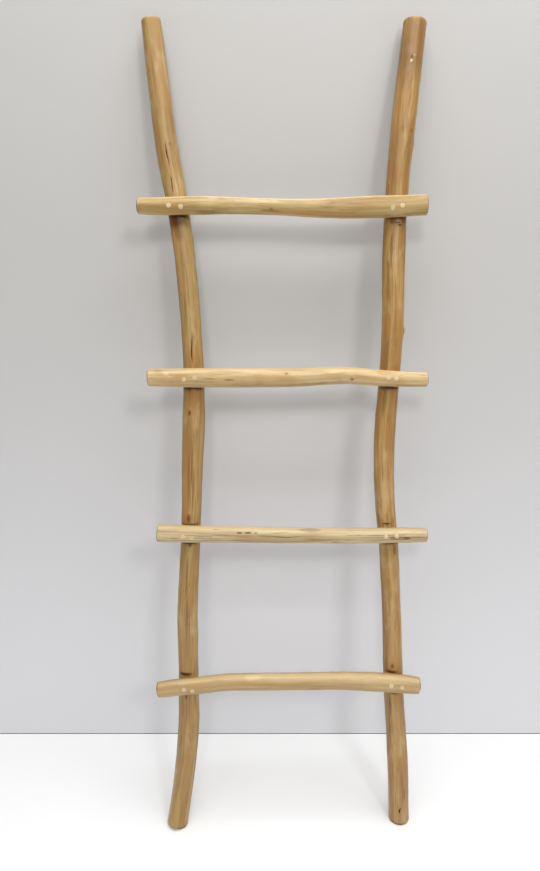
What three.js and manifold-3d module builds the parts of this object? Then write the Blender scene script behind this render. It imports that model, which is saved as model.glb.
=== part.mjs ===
// A leaning blanket ladder of peeled branches: two crooked rails, four rungs let into the rails' fronts,
// and at every crossing two wood screws, each hidden under a glued plug.
// Millimetres. The heels of the feet stand on z = 0, +X is to the right, and the top leans back towards +Y.
import * as THREE from "three";
import { mergeVertices } from "three/addons/utils/BufferGeometryUtils.js";
import Module from "manifold-3d";

const wasm = await Module();
wasm.setup();

// ---- Driving dimensions: the ladder ----
const LADDER_LENGTH = 1500; // along a rail, from the floor to its tip
const LADDER_WIDTH = 500; // the length of a full rung
const LEAN = 8.75; // degrees from upright
const END_STRETCH = 312; // along a rail, from either end to the nearest rung
const RUNG_OVERHANG = 62; // from a rung's end to the rail's straight line

// ---- Driving dimensions: the branches ----
const RAIL_DIAMETER = 38;
const RUNG_DIAMETER = 31;
const SEAT_DEPTH = 9; // how deep a rung of average girth is let into a rail
const RAIL_EDGE = 4; // radius of the rounded-over ends
const HEEL_FLAT = 1.5; // how much of a square-cut foot's heel is levelled to stand on the floor
const RUNG_EDGE = 2.5;
const OVAL = 0.03; // how far a branch is from round, as a share of its radius
const THREE_SIDED = 0.015;

// ---- Driving dimensions: the fastenings ----
const SCREW_SPACING = 18; // between the two screws of a crossing, along the rung
const SCREW_DIAMETER = 4;
const SCREW_BITE = 20; // how far a screw goes into the rail past the rung's back
const SCREW_POINT = 7; // length of its tapered tip
const HEAD_HEIGHT = 2.4;
const PLUG_DIAMETER = 8;
const PLUG_LENGTH = 7;
const CLEARANCE = 0.3; // between any two pieces that touch

// ---- How finely the round shapes are cut ----
const BRANCH_SIDES = 20;
const RAIL_STEP = 28; // length of one ring of facets
const RUNG_STEP = 20;
const EDGE_STEPS = 2;
const BORE_SIDES = 16;
const SCREW_SIDES = 12;

// ---- What follows from them ----
const railRadius = RAIL_DIAMETER / 2;
const rungRadius = RUNG_DIAMETER / 2;
const lean = THREE.MathUtils.degToRad(LEAN);
const railLine = LADDER_WIDTH / 2 - RUNG_OVERHANG;
const rungLine = -(railRadius + rungRadius - SEAT_DEPTH);
const rungPitch = (LADDER_LENGTH - 2 * END_STRETCH) / 3;
const heelDrop = (railRadius - RAIL_EDGE) * Math.sin(lean) + RAIL_EDGE;
const footStart = (heelDrop - HEEL_FLAT) / Math.cos(lean) - RAIL_EDGE; // a rail's square end, above the floor
const boreRadius = PLUG_DIAMETER / 2 + CLEARANCE;
const headRadius = PLUG_DIAMETER / 2 - CLEARANCE;
const boreDepth = PLUG_LENGTH + HEAD_HEIGHT + 2 * CLEARANCE;

// ---- How the branches grew ----
// Each row of a line is [share of the length, bend across the ladder, bend towards the wall, girth].
// Bends are in millimetres, and girth multiplies the radius.
const RAILS = {
  left_rail: {
    line: [
      [0, -28, 1, 1.06],
      [0.06, -14, 3, 1.04],
      [0.145, -1, 2, 1.08],
      [0.205, 0, 0, 1],
      [0.3, 1, -3, 1.03],
      [0.4, 9, 0, 0.95],
      [0.49, 14, 3, 1.05],
      [0.54, 17, 2, 1.09],
      [0.6, 19, 0, 0.97],
      [0.665, 15, -2, 0.96],
      [0.74, 6, -2, 0.97],
      [0.8, -6, 0, 1],
      [0.86, -22, 2, 1.03],
      [0.93, -34, 1, 0.97],
      [1, -45, -2, 0.88],
    ],
    oval: 0.5,
  },
  right_rail: {
    line: [
      [0, 43, 15, 1.07],
      [0.085, 36, 7, 1.05],
      [0.185, 23, 0, 0.99],
      [0.3, 14, -2, 0.95],
      [0.38, 6, -1, 0.95],
      [0.45, -4, 1, 0.96],
      [0.52, -6, 3, 1.02],
      [0.6, 0, 0, 0.98],
      [0.66, 3, -3, 1.03],
      [0.74, 2, -2, 1.07],
      [0.82, 6, 0, 1.05],
      [0.9, 16, 2, 1.1],
      [1, 30, 3, 1.03],
    ],
    oval: 2.1,
  },
};

// On a rung the first bend is upwards. A rung's place is its number of pitches up the rails and how far
// it sits to the right; short is what its left and right end lack of the full width; wander is how far the
// drill strayed at each screw, [along the rung, upwards].
const RUNGS = {
  rung_1: {
    line: [
      [0, 0, 0, 0.87],
      [0.1, 0, 0, 0.95],
      [0.2, 1.5, 0, 0.94],
      [0.44, 0, 2, 0.87],
      [0.55, -2, 2, 0.94],
      [0.65, -3, 1, 1.05],
      [0.76, -2.3, 0, 1.16],
      [0.84, -1, 0, 1.18],
      [0.93, 0.5, 0, 1.15],
      [1, 2.5, -1, 1.11],
    ],
    oval: 0.2,
    pitches: 3,
    short: [0, 0],
    shift: -9,
    wander: { left: [[-2, -1], [0.5, -4]], right: [[-3.5, -5], [-5, -2]] },
  },
  rung_2: {
    line: [
      [0, -2.5, -1, 0.99],
      [0.08, -3, 0, 1.06],
      [0.19, -3, 0, 1.12],
      [0.42, -3, -2, 1.12],
      [0.57, -2, -1, 1.07],
      [0.7, 1, 1, 1],
      [0.78, -1.5, 1, 0.98],
      [0.86, -4.5, 0, 0.92],
      [0.93, -6, 0, 0.89],
      [1, -6.5, 1, 0.83],
    ],
    oval: 1.4,
    pitches: 2,
    short: [1, 0],
    shift: 1,
    wander: { left: [[-4, -2.5], [-3, 0.5]], right: [[0.5, 2], [-3.5, 0.5]] },
  },
  rung_3: {
    line: [
      [0, 4, 0, 1.1],
      [0.1, 1.5, 0, 1.03],
      [0.33, 0, 1, 0.98],
      [0.5, -1.5, 2, 0.95],
      [0.65, -1.8, 1, 0.94],
      [0.81, -1.2, 0, 0.92],
      [0.92, -0.5, 0, 0.88],
      [1, -0.5, 0, 0.83],
    ],
    oval: 2.6,
    pitches: 1,
    short: [3, 1],
    shift: 10,
    wander: { left: [[-1, -1], [-3, -3]], right: [[-0.5, 1], [1.5, 2]] },
  },
  rung_4: {
    line: [
      [0, -12, 0, 0.93],
      [0.08, -6.7, 0, 0.99],
      [0.16, -3, 0, 1.01],
      [0.26, 4, -1, 0.99],
      [0.34, 5.6, -2, 1],
      [0.57, 7, -2, 1.02],
      [0.72, 6.8, -1, 1.05],
      [0.86, 3, 0, 1.14],
      [0.93, 0, 0, 1.13],
      [1, -4.5, 1, 1],
    ],
    oval: 0.9,
    pitches: 0,
    short: [1, 1.5],
    shift: 5,
    wander: { left: [[5, 1], [3, -3]], right: [[-2, 2.5], [0.5, 1]] },
  },
};

// ---- Finishes ----
const FINISHES = {
  rail: { color: 0xb8925a, roughness: 0.55, metalness: 0 },
  rung: { color: 0xd0b47e, roughness: 0.5, metalness: 0 },
  plug: { color: 0xe6d3a8, roughness: 0.6, metalness: 0 },
  screw: { color: 0xa9a9a2, roughness: 0.35, metalness: 1 },
};

// ---- Solids ----
function toSolid(geometry) {
  const bare = new THREE.BufferGeometry();
  bare.setAttribute("position", geometry.getAttribute("position"));
  bare.setIndex(geometry.getIndex());
  const merged = mergeVertices(bare, 1e-4);
  return new wasm.Manifold(
    new wasm.Mesh({
      numProp: 3,
      vertProperties: merged.getAttribute("position").array,
      triVerts: new Uint32Array(merged.getIndex().array),
    }),
  );
}

function toMesh(name, solid, finish) {
  const { vertProperties, triVerts } = solid.getMesh();
  const geometry = new THREE.BufferGeometry();
  geometry.setAttribute("position", new THREE.BufferAttribute(vertProperties, 3));
  geometry.setIndex(new THREE.BufferAttribute(triVerts, 1));
  geometry.computeVertexNormals();
  const mesh = new THREE.Mesh(geometry, new THREE.MeshStandardMaterial(FINISHES[finish]));
  mesh.name = name;
  return mesh;
}

// A solid of revolution from a profile of [radius, height] pairs, its axis along +Y, starting at depth.
function turned(profile, sides, x, depth, z) {
  const points = profile.map(([radius, height]) => new THREE.Vector2(radius, height));
  return toSolid(new THREE.LatheGeometry(points, sides).translate(x, depth, z));
}

// ---- Branches ----
// The rounded end of a branch as [radius, height] pairs, from its axis out to its side.
function roundedEnd(radius, edge) {
  const points = [[0, 0]];
  for (let i = 0; i <= EDGE_STEPS; i++) {
    const angle = (Math.PI / 2) * (i / EDGE_STEPS);
    points.push([radius - edge + edge * Math.sin(angle), edge - edge * Math.cos(angle)]);
  }
  return points;
}

function branchProfile(radius, length, edge, step) {
  const foot = roundedEnd(radius, edge);
  const tip = foot.map(([r, height]) => [r, length - height]).reverse();
  const rings = Math.round((length - 2 * edge) / step);
  const side = [];
  for (let i = 1; i < rings; i++) {
    side.push([radius, edge + ((length - 2 * edge) * i) / rings]);
  }
  return [...foot, ...side, ...tip].map(([r, height]) => new THREE.Vector2(r, height));
}

function lineOf(rows) {
  const shares = rows.map((row) => row[0]);
  const values = rows.flatMap((row) => row.slice(1));
  const curve = new THREE.CubicInterpolant(shares, values, 3);
  return (share) => {
    const [across, inward, girth] = curve.evaluate(THREE.MathUtils.clamp(share, 0, 1));
    return { across, inward, girth };
  };
}

// A peeled branch along +Y, from start to finish of its length: its bends go along x and z, and extra
// makes it that much thicker all round.
function branch({ length, start, finish, radius, edge, step, line, oval, extra = 0 }) {
  const geometry = new THREE.LatheGeometry(
    branchProfile(radius, finish - start, edge, step),
    BRANCH_SIDES,
  );
  const place = geometry.getAttribute("position");
  const at = lineOf(line);
  for (let i = 0; i < place.count; i++) {
    const height = place.getY(i) + start;
    const { across, inward, girth } = at(height / length);
    const turn = Math.atan2(place.getZ(i), place.getX(i));
    const growth = OVAL * Math.cos(2 * turn + oval) + THREE_SIDED * Math.cos(3 * turn - oval);
    const reach = girth * (1 + growth) + extra / radius;
    place.setXYZ(i, place.getX(i) * reach + across, height, place.getZ(i) * reach + inward);
  }
  return geometry;
}

// Rails stand up along +Z, bending across along +X and towards the wall along +Y.
function railBranch(name) {
  const { line, oval } = RAILS[name];
  const reach = { length: LADDER_LENGTH, start: footStart, finish: LADDER_LENGTH };
  const sizes = { ...reach, radius: railRadius, edge: RAIL_EDGE, step: RAIL_STEP };
  const toRail = new THREE.Matrix4().set(1, 0, 0, 0, 0, 0, 1, 0, 0, 1, 0, 0, 0, 0, 0, 1);
  const side = name === "left_rail" ? -railLine : railLine;
  return mirrored(branch({ ...sizes, line, oval }), toRail).translate(side, 0, 0);
}

// Rungs lie along +X, bending upwards along +Z and towards the wall along +Y.
function rungBranch(name, extra = 0) {
  const { line, oval, shift, short } = RUNGS[name];
  const reach = { length: LADDER_WIDTH, start: short[0], finish: LADDER_WIDTH - short[1] };
  const sizes = { ...reach, radius: rungRadius, edge: RUNG_EDGE, step: RUNG_STEP };
  const toRung = new THREE.Matrix4().set(0, 1, 0, 0, 0, 0, 1, 0, 1, 0, 0, 0, 0, 0, 0, 1);
  return branch({ ...sizes, line, oval, extra })
    .applyMatrix4(toRung)
    .translate(shift - LADDER_WIDTH / 2, rungLine, rungHeight(name));
}

// Applies a matrix that swaps two axes, and turns each face round so that it still points out.
function mirrored(geometry, matrix) {
  const index = geometry.applyMatrix4(matrix).getIndex();
  for (let i = 0; i < index.count; i += 3) {
    const second = index.getX(i + 1);
    index.setX(i + 1, index.getX(i + 2));
    index.setX(i + 2, second);
  }
  return geometry;
}

function rungHeight(name) {
  return END_STRETCH + RUNGS[name].pitches * rungPitch;
}

// ---- Fastenings ----
// The two screws of the crossing of a rung and a rail: where each goes in, and where the rung's front,
// back and the floor of its bore are.
function crossing(rungName, side) {
  const { line, shift, wander } = RUNGS[rungName];
  const rail = lineOf(RAILS[side + "_rail"].line)(rungHeight(rungName) / LADDER_LENGTH);
  const centre = (side === "left" ? -railLine : railLine) + rail.across;
  return wander[side].map(([along, upwards], i) => {
    const x = centre + (i - 0.5) * SCREW_SPACING + along;
    const rung = lineOf(line)((x - shift) / LADDER_WIDTH + 0.5);
    const radius = rung.girth * rungRadius;
    const front = rungLine + rung.inward - radius;
    const z = rungHeight(rungName) + rung.across + upwards;
    return { x, z, front, back: front + 2 * radius, seat: front + boreDepth };
  });
}

function screwLength({ back, seat }) {
  return back - seat + SCREW_BITE;
}

// A screw's outline from the top of its head to its point, swollen by extra where it is to be a hole.
function screwSolid(hole, extra = 0) {
  const shank = SCREW_DIAMETER / 2 + extra;
  const tip = screwLength(hole) + extra;
  const profile = [
    [0, -HEAD_HEIGHT],
    [headRadius, -HEAD_HEIGHT],
    [headRadius, 0],
    [shank, 0],
    [shank, tip - SCREW_POINT],
    [0, tip],
  ];
  return turned(profile, SCREW_SIDES, hole.x, hole.seat - CLEARANCE, hole.z);
}

// The bore that takes the head and the plug, open at the rung's front.
function boreSolid(hole) {
  const open = -RUNG_DIAMETER;
  const profile = [[0, open], [boreRadius, open], [boreRadius, 0], [0, 0]];
  return turned(profile, BORE_SIDES, hole.x, hole.seat, hole.z);
}

// A glued plug: its outer end is the rung's own surface.
function plugSolid(hole, rung) {
  const radius = PLUG_DIAMETER / 2;
  const profile = [[0, -RUNG_DIAMETER], [radius, -RUNG_DIAMETER], [radius, 0], [0, 0]];
  return turned(profile, BORE_SIDES, hole.x, hole.front + PLUG_LENGTH, hole.z).intersect(rung);
}

// ---- Assembly ----
// The ground as a block much wider than the ladder, seen from the ladder before it leans.
function floorSolid() {
  const size = 4 * (RAIL_DIAMETER + LADDER_WIDTH);
  return toSolid(new THREE.BoxGeometry(size, size, size).translate(0, 0, -size / 2).rotateX(lean));
}

function cutAll(solid, tools) {
  return tools.reduce((left, tool) => left.subtract(tool), solid);
}

const ladder = new THREE.Group();
ladder.rotation.x = -lean;
const rungNames = Object.keys(RUNGS);
const holes = rungNames.flatMap((rung) =>
  ["left", "right"].flatMap((side) =>
    crossing(rung, side).map((hole, i) => ({ ...hole, rung, label: `${rung.slice(5)}_${side}_${"ab"[i]}` })),
  ),
);

for (const name of Object.keys(RAILS)) {
  const seats = rungNames.map((rung) => toSolid(rungBranch(rung, CLEARANCE)));
  const pilots = holes.map((hole) => screwSolid(hole, CLEARANCE));
  const rail = cutAll(toSolid(railBranch(name)), [...seats, ...pilots, floorSolid()]);
  ladder.add(toMesh(name, rail, "rail"));
}

for (const name of rungNames) {
  const whole = toSolid(rungBranch(name));
  const own = holes.filter((hole) => hole.rung === name);
  const tools = own.flatMap((hole) => [boreSolid(hole), screwSolid(hole, CLEARANCE)]);
  ladder.add(toMesh(name, cutAll(whole, tools), "rung"));
  for (const hole of own) {
    ladder.add(toMesh("screw_" + hole.label, screwSolid(hole), "screw"));
    ladder.add(toMesh("plug_" + hole.label, plugSolid(hole, whole), "plug"));
  }
}

// The origin is under the middle of the ladder, on the floor.
const part = new THREE.Group();
part.name = "blanket_ladder";
part.add(ladder);
part.updateMatrixWorld(true);
const middle = new THREE.Box3().setFromObject(part, true).getCenter(new THREE.Vector3());
ladder.position.set(-middle.x, -middle.y, 0);

export default part;
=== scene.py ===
"""A leaning blanket ladder of peeled branches: two crooked rails, four rungs, plugged wood screws.

Metres throughout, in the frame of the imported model: +Z up, the top leans back towards +Y.
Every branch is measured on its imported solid, regrown as a fine skin, cut for its seats, bores and cracks,
and finished in wood whose grain follows the branch.
"""

import math

import bmesh
import bpy
import numpy as np
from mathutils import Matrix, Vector


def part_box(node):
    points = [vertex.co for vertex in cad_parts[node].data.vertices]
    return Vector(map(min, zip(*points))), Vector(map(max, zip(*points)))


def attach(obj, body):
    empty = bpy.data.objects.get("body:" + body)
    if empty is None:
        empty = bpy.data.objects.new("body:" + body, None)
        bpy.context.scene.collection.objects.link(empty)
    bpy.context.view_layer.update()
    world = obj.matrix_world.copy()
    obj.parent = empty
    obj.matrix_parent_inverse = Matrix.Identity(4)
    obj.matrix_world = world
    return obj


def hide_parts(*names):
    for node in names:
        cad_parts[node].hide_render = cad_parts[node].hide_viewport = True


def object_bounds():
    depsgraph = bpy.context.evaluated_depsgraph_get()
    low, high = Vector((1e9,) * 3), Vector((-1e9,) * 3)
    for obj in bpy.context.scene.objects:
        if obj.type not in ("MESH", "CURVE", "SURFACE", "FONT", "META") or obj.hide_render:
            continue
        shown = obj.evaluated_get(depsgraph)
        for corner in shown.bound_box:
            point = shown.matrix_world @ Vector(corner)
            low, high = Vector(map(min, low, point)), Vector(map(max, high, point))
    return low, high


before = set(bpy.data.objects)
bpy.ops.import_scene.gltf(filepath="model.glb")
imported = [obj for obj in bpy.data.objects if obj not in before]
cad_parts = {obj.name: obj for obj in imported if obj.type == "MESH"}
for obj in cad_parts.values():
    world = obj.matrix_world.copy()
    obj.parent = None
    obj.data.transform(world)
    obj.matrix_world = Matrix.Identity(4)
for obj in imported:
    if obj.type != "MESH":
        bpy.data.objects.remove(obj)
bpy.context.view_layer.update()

MM = 0.001
BODY = "root"
SIDES = ("left", "right")
RAIL_NAMES = ("left_rail", "right_rail")
RUNG_NAMES = ("rung_1", "rung_2", "rung_3", "rung_4")

# ---- Fineness of the skins ----
RAIL_RING = 1.9 * MM
RAIL_SIDES = 64
RUNG_RING = 1.6 * MM
RUNG_SIDES = 64

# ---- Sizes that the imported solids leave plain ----
MEASURE_STEP = 14 * MM
LINE_STEP = 4 * MM
RAIL_EDGE = 4.5 * MM
RUNG_EDGE = 2.2 * MM
SEAT_GAP = 0.5 * MM
BORE_GAP = 0.12 * MM
PLUG_PROUD = 0.1 * MM
PLUG_RADIUS = 4 * MM
SCREW_RADIUS = 2 * MM
HEAD_RADIUS = 3.7 * MM
HEAD_HEIGHT = 2.4 * MM
HOLE_GAP = 0.3 * MM
BORE_REACH = 30 * MM


# ---- Small tools ----
class Nodes:
    """Writes one node tree: each call adds a node and returns it, or its first output."""

    def __init__(self, tree):
        self.tree = tree

    def feed(self, socket, value):
        if isinstance(value, bpy.types.NodeSocket):
            self.tree.links.new(value, socket)
        else:
            socket.default_value = value

    def add(self, kind, inputs=None, **settings):
        node = self.tree.nodes.new(kind)
        for name, value in settings.items():
            setattr(node, name, value)
        for name, value in (inputs or {}).items():
            self.feed(node.inputs[name], value)
        return node

    def maths(self, operation, *values, clamp=False):
        node = self.add("ShaderNodeMath", operation=operation, use_clamp=clamp)
        for socket, value in zip(node.inputs, values):
            self.feed(socket, value)
        return node.outputs[0]

    def vector(self, operation, *values):
        node = self.add("ShaderNodeVectorMath", operation=operation)
        sockets = [s for s in node.inputs if s.enabled]
        for socket, value in zip(sockets, values):
            self.feed(socket, value)
        return node.outputs["Value" if operation in ("LENGTH", "DISTANCE", "DOT_PRODUCT") else "Vector"]

    def noise(self, vector, scale=1.0, detail=2.0, roughness=0.5):
        inputs = {"Vector": vector, "Scale": scale, "Detail": detail, "Roughness": roughness}
        return self.add("ShaderNodeTexNoise", inputs).outputs[0]

    def stretch(self, vector, across, along):
        """The straightened-branch position, so many features a metre across and along the grain."""
        return self.vector("MULTIPLY", vector, (across, across, along))

    def remap(self, value, low, high, to_low=0.0, to_high=1.0, smooth=True):
        kind = "SMOOTHSTEP" if smooth else "LINEAR"
        node = self.add("ShaderNodeMapRange", interpolation_type=kind)
        for name, number in zip(("Value", "From Min", "From Max", "To Min", "To Max"),
                                (value, low, high, to_low, to_high)):
            self.feed(node.inputs[name], number)
        return node.outputs[0]

    def blend(self, factor, first, second, kind="MIX"):
        node = self.add("ShaderNodeMix", data_type="RGBA", blend_type=kind)
        self.feed(node.inputs[0], factor)
        self.feed(node.inputs[6], first)
        self.feed(node.inputs[7], second)
        return node.outputs[2]


def colour(red, green, blue):
    """A colour picked as 0 to 255 screen values, turned into the linear light that shaders use."""
    def linear(value):
        share = value / 255
        return share / 12.92 if share <= 0.04045 else ((share + 0.055) / 1.055) ** 2.4
    return (linear(red), linear(green), linear(blue), 1.0)


def inputs_of(tree, *rows):
    """Gives a node tree its named inputs, and returns the node inside the tree that they come out of."""
    for name, kind, default in rows:
        socket = tree.interface.new_socket(name, in_out="INPUT", socket_type="NodeSocket" + kind)
        if default is not None:
            socket.default_value = default
    return tree.nodes.new("NodeGroupInput")


def outputs_of(tree, **values):
    """Gives a node tree its named outputs, each linked from the socket given for it."""
    for name, (kind, _) in values.items():
        tree.interface.new_socket(name, in_out="OUTPUT", socket_type="NodeSocket" + kind)
    out = tree.nodes.new("NodeGroupOutput")
    for name, (_, source) in values.items():
        tree.links.new(source, out.inputs[name])


def new_object(name, mesh):
    made = bpy.data.objects.new(name, mesh)
    bpy.context.scene.collection.objects.link(made)
    return made


def vertices_of(mesh):
    points = np.empty(len(mesh.vertices) * 3)
    mesh.vertices.foreach_get("co", points)
    return points.reshape(-1, 3)


def run_nodes(name, mesh, tree, **values):
    """Runs a Geometry Nodes tree on a mesh and returns what it makes as a plain mesh."""
    holder = new_object(name + "_maker", mesh)
    modifier = holder.modifiers.new("maker", "NODES")
    modifier.node_group = tree
    identifiers = {item.name: item.identifier for item in tree.interface.items_tree}
    for key, value in values.items():
        modifier[identifiers[key.replace("_", " ")]] = value
    shaped = holder.evaluated_get(bpy.context.evaluated_depsgraph_get())
    made = bpy.data.meshes.new_from_object(shaped)
    bpy.data.objects.remove(holder)
    made.name = name
    return made


# ---- The ladder's own axes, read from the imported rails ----
def end_centres(node):
    points = vertices_of(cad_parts[node].data)
    low, high = points[:, 2].min(), points[:, 2].max()
    near = 30 * MM
    return points[points[:, 2] < low + near].mean(0), points[points[:, 2] > high - near].mean(0)


def lean_of_rails():
    rises = [top - foot for foot, top in map(end_centres, RAIL_NAMES)]
    rise = np.mean(rises, axis=0)
    return math.atan2(rise[1], rise[2])


LEAN = lean_of_rails()
ACROSS = np.array((1.0, 0.0, 0.0))
OUTWARD = np.array((0.0, -math.cos(LEAN), math.sin(LEAN)))
UPWARD = np.array((0.0, math.sin(LEAN), math.cos(LEAN)))
RAIL_AXES = np.array((ACROSS, OUTWARD, UPWARD))  # a rail's own side, front and length
RUNG_AXES = np.array((UPWARD, OUTWARD, ACROSS))  # a rung's


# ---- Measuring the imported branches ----
def slice_at(points, edges, level):
    """Where the edges of a solid cross a plane square to its length."""
    first, second = points[edges[:, 0]], points[edges[:, 1]]
    crossing = (first[:, 2] - level) * (second[:, 2] - level) < 0
    first, second = first[crossing], second[crossing]
    share = (level - first[:, 2]) / (second[:, 2] - first[:, 2])
    return first + share[:, None] * (second - first)


def fit_circle(ring):
    """Centre and radius of the circle that lies nearest to a ring of points."""
    matrix = np.column_stack((2 * ring[:, 0], 2 * ring[:, 1], np.ones(len(ring))))
    side, front, rest = np.linalg.lstsq(matrix, (ring[:, :2] ** 2).sum(1), rcond=None)[0]
    return side, front, math.sqrt(rest + side ** 2 + front ** 2)


def smooth_through(at, levels, values):
    """A smooth curve through values at uneven levels, carried on straight past both ends."""
    slopes = np.gradient(values, levels)
    index = np.clip(np.searchsorted(levels, at) - 1, 0, len(levels) - 2)
    gap = levels[index + 1] - levels[index]
    share = np.clip((at - levels[index]) / gap, 0, 1)
    bend = share ** 2 * (3 - 2 * share)
    inside = (
        values[index] * (1 - bend) + values[index + 1] * bend
        + gap * slopes[index] * share * (1 - share) ** 2
        - gap * slopes[index + 1] * share ** 2 * (1 - share)
    )
    before = np.minimum(at - levels[0], 0) * slopes[0]
    after = np.maximum(at - levels[-1], 0) * slopes[-1]
    return inside + before + after


class Branch:
    """A branch's own axes, its centre line and its girth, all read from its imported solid."""

    def __init__(self, node, axes, skips):
        self.node = node
        self.axes = axes
        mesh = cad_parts[node].data
        points = vertices_of(mesh) @ axes.T
        edges = np.array([edge.vertices[:] for edge in mesh.edges])
        self.low, self.high = points[:, 2].min(), points[:, 2].max()
        levels = np.arange(self.low + 9 * MM, self.high - 6 * MM, MEASURE_STEP)
        clear = [level for level in levels if not any(abs(level - at) < reach for at, reach in skips)]
        rows = [(level, *fit_circle(slice_at(points, edges, level))) for level in clear]
        self.levels, self.sides, self.fronts, self.girths = np.array(rows).T

    def line(self, at):
        """Centre and girth of the branch at distances along its length."""
        return [smooth_through(at, self.levels, values) for values in (self.sides, self.fronts, self.girths)]

    def straighten(self, points):
        """Points of the ladder as places in the branch if it were straight: side, front, length from its low end."""
        own = points @ self.axes.T
        side, front, _ = self.line(own[:, 2])
        return np.column_stack((own[:, 0] - side, own[:, 1] - front, own[:, 2] - self.low))

    def place(self, length, angle, reach=1.0):
        """The ladder point at a length from the low end, an angle from the front, and reach radii out."""
        at = np.array([self.low + length])
        side, front, girth = (value[0] for value in self.line(at))
        turn = math.radians(angle)
        own = np.array((
            side + reach * girth * math.sin(turn), front + reach * girth * math.cos(turn), at[0],
        ))
        return own @ self.axes

    def spot(self, length, angle, reach=1.0):
        """The same place in the straight branch."""
        _, _, girth = (value[0] for value in self.line(np.array([self.low + length])))
        turn = math.radians(angle)
        return (reach * girth * math.sin(turn), reach * girth * math.cos(turn), length)

    def backbone(self):
        """The centre line as a mesh of edges that carries the girth."""
        at = np.linspace(self.low, self.high, int((self.high - self.low) / LINE_STEP))
        side, front, girth = self.line(at)
        points = np.column_stack((side, front, at)) @ self.axes
        mesh = bpy.data.meshes.new(self.node + "_line")
        mesh.from_pydata(points.tolist(), [(i, i + 1) for i in range(len(at) - 1)], [])
        mesh.attributes.new("girth", "FLOAT", "POINT").data.foreach_set("value", girth)
        return mesh


def middle_of(node, axis):
    low, high = (np.array(corner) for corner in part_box(node))
    return float((low + high) @ axis / 2)


def measure_rail(name):
    skips = [(middle_of(rung, UPWARD), 34 * MM) for rung in RUNG_NAMES]
    return Branch(name, RAIL_AXES, skips)


def measure_rung(name):
    plugs = [f"plug_{name[5:]}_{side}_{which}" for side in SIDES for which in "ab"]
    skips = [(middle_of(plug, ACROSS), 8 * MM) for plug in plugs]
    return Branch(name, RUNG_AXES, skips)


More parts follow.
